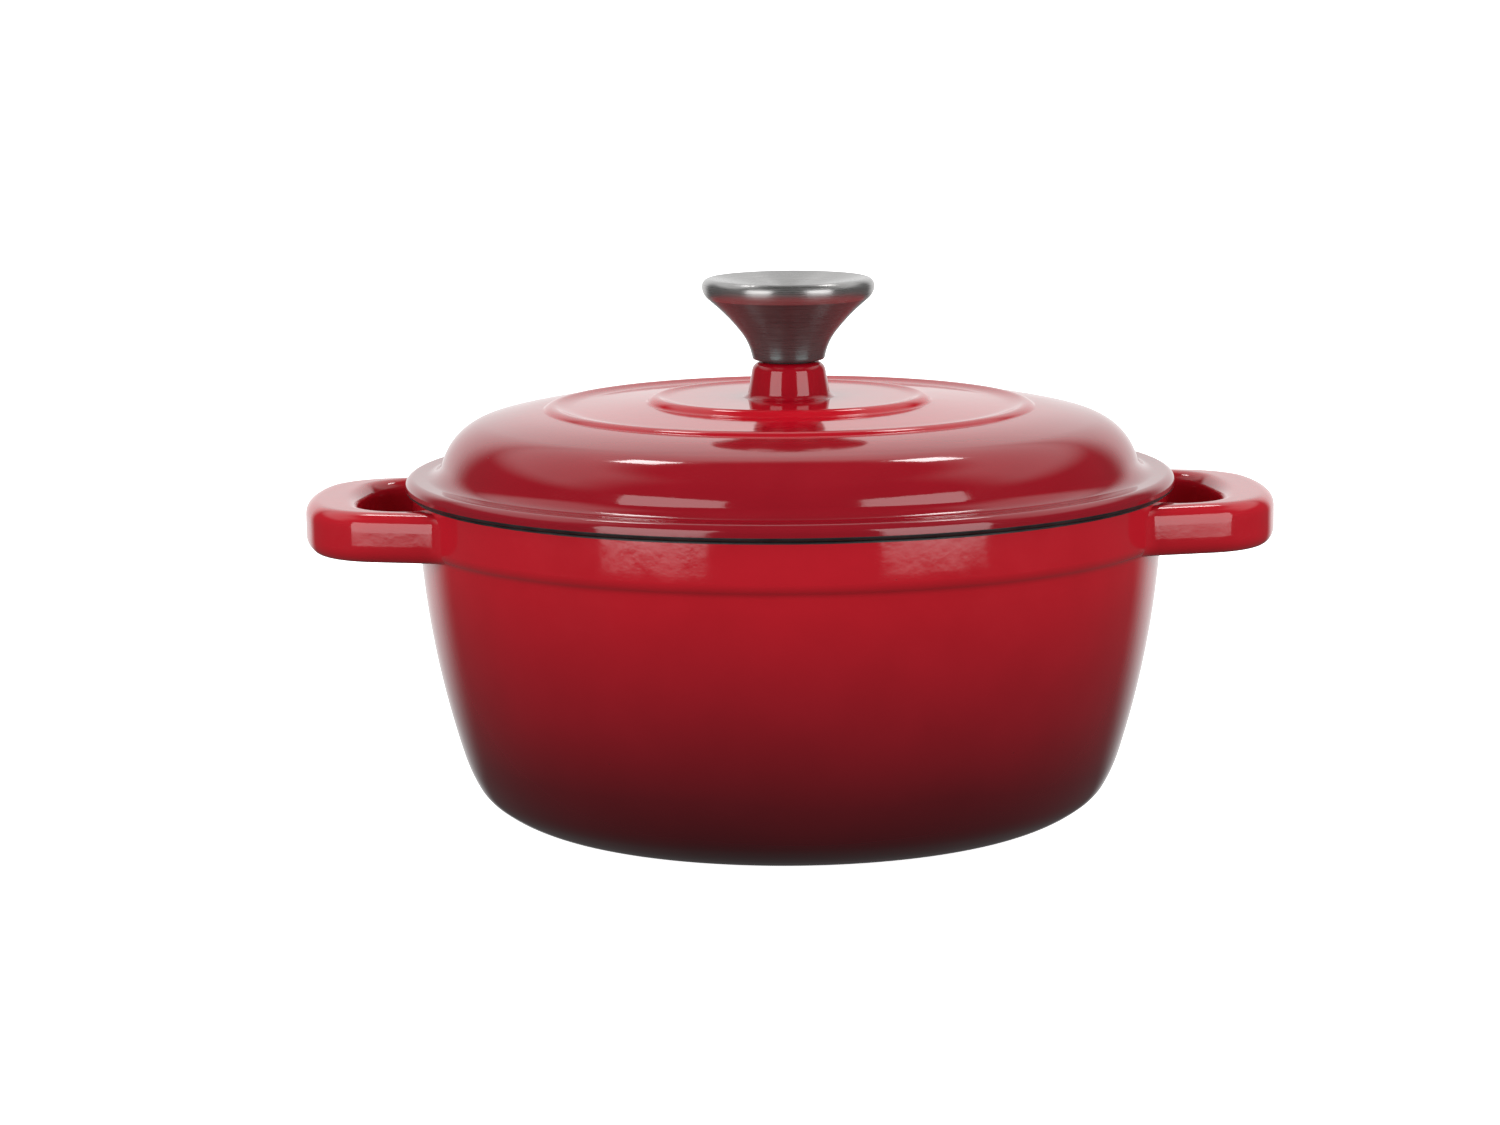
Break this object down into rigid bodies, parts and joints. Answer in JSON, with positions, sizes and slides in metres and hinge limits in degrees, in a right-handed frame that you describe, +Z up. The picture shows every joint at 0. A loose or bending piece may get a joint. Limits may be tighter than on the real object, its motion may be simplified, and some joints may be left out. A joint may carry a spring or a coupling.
{
  "type": "dutch oven",
  "caption": "Round enamelled cast iron dutch oven with loop handles and a domed self-basting lid that lifts off by a flared steel knob.",
  "frame": {"origin": "centre of the foot ring, on the surface the pot stands on", "axes": "+Z up along the pot's axis, +X through the two loop handles, -Y the front"},
  "size_m": [0.3402, 0.27, 0.1917],
  "materials": {
    "bare_iron": "as cast",
    "red_enamel": "glossy vitreous enamel, bright red at the collar to dark maroon at the base",
    "lid_red_enamel": "glossy vitreous enamel, bright red, darker towards the brim",
    "cream_enamel": "glossy cream enamel",
    "black_enamel": "matt black enamel",
    "knob_steel": "turned and brushed stainless steel",
    "fastener_steel": "plain stainless steel",
    "gasket_rubber": "matt silicone"
  },
  "bodies": {
    "pot": {"pot_casting": "bare_iron", "pot_exterior_enamel": "red_enamel", "pot_interior_enamel": "cream_enamel", "pot_rim_coat": "black_enamel", "pot_base_coat": "black_enamel"},
    "lid": {"lid_casting": "bare_iron", "lid_exterior_enamel": "lid_red_enamel", "lid_interior_enamel": "cream_enamel", "lid_rim_coat": "black_enamel", "knob_gasket": "gasket_rubber", "knob_shell": "knob_steel", "knob_cap": "knob_steel", "knob_insert": "fastener_steel", "flat_washer": "fastener_steel", "lock_washer": "fastener_steel", "knob_screw": "fastener_steel"}
  },
  "joints": [
    {"name": "lid_lift", "type": "slide", "parent": "pot", "child": "lid", "axis": [0, 0, 1], "range_m": [0, 0.25]}
  ]
}
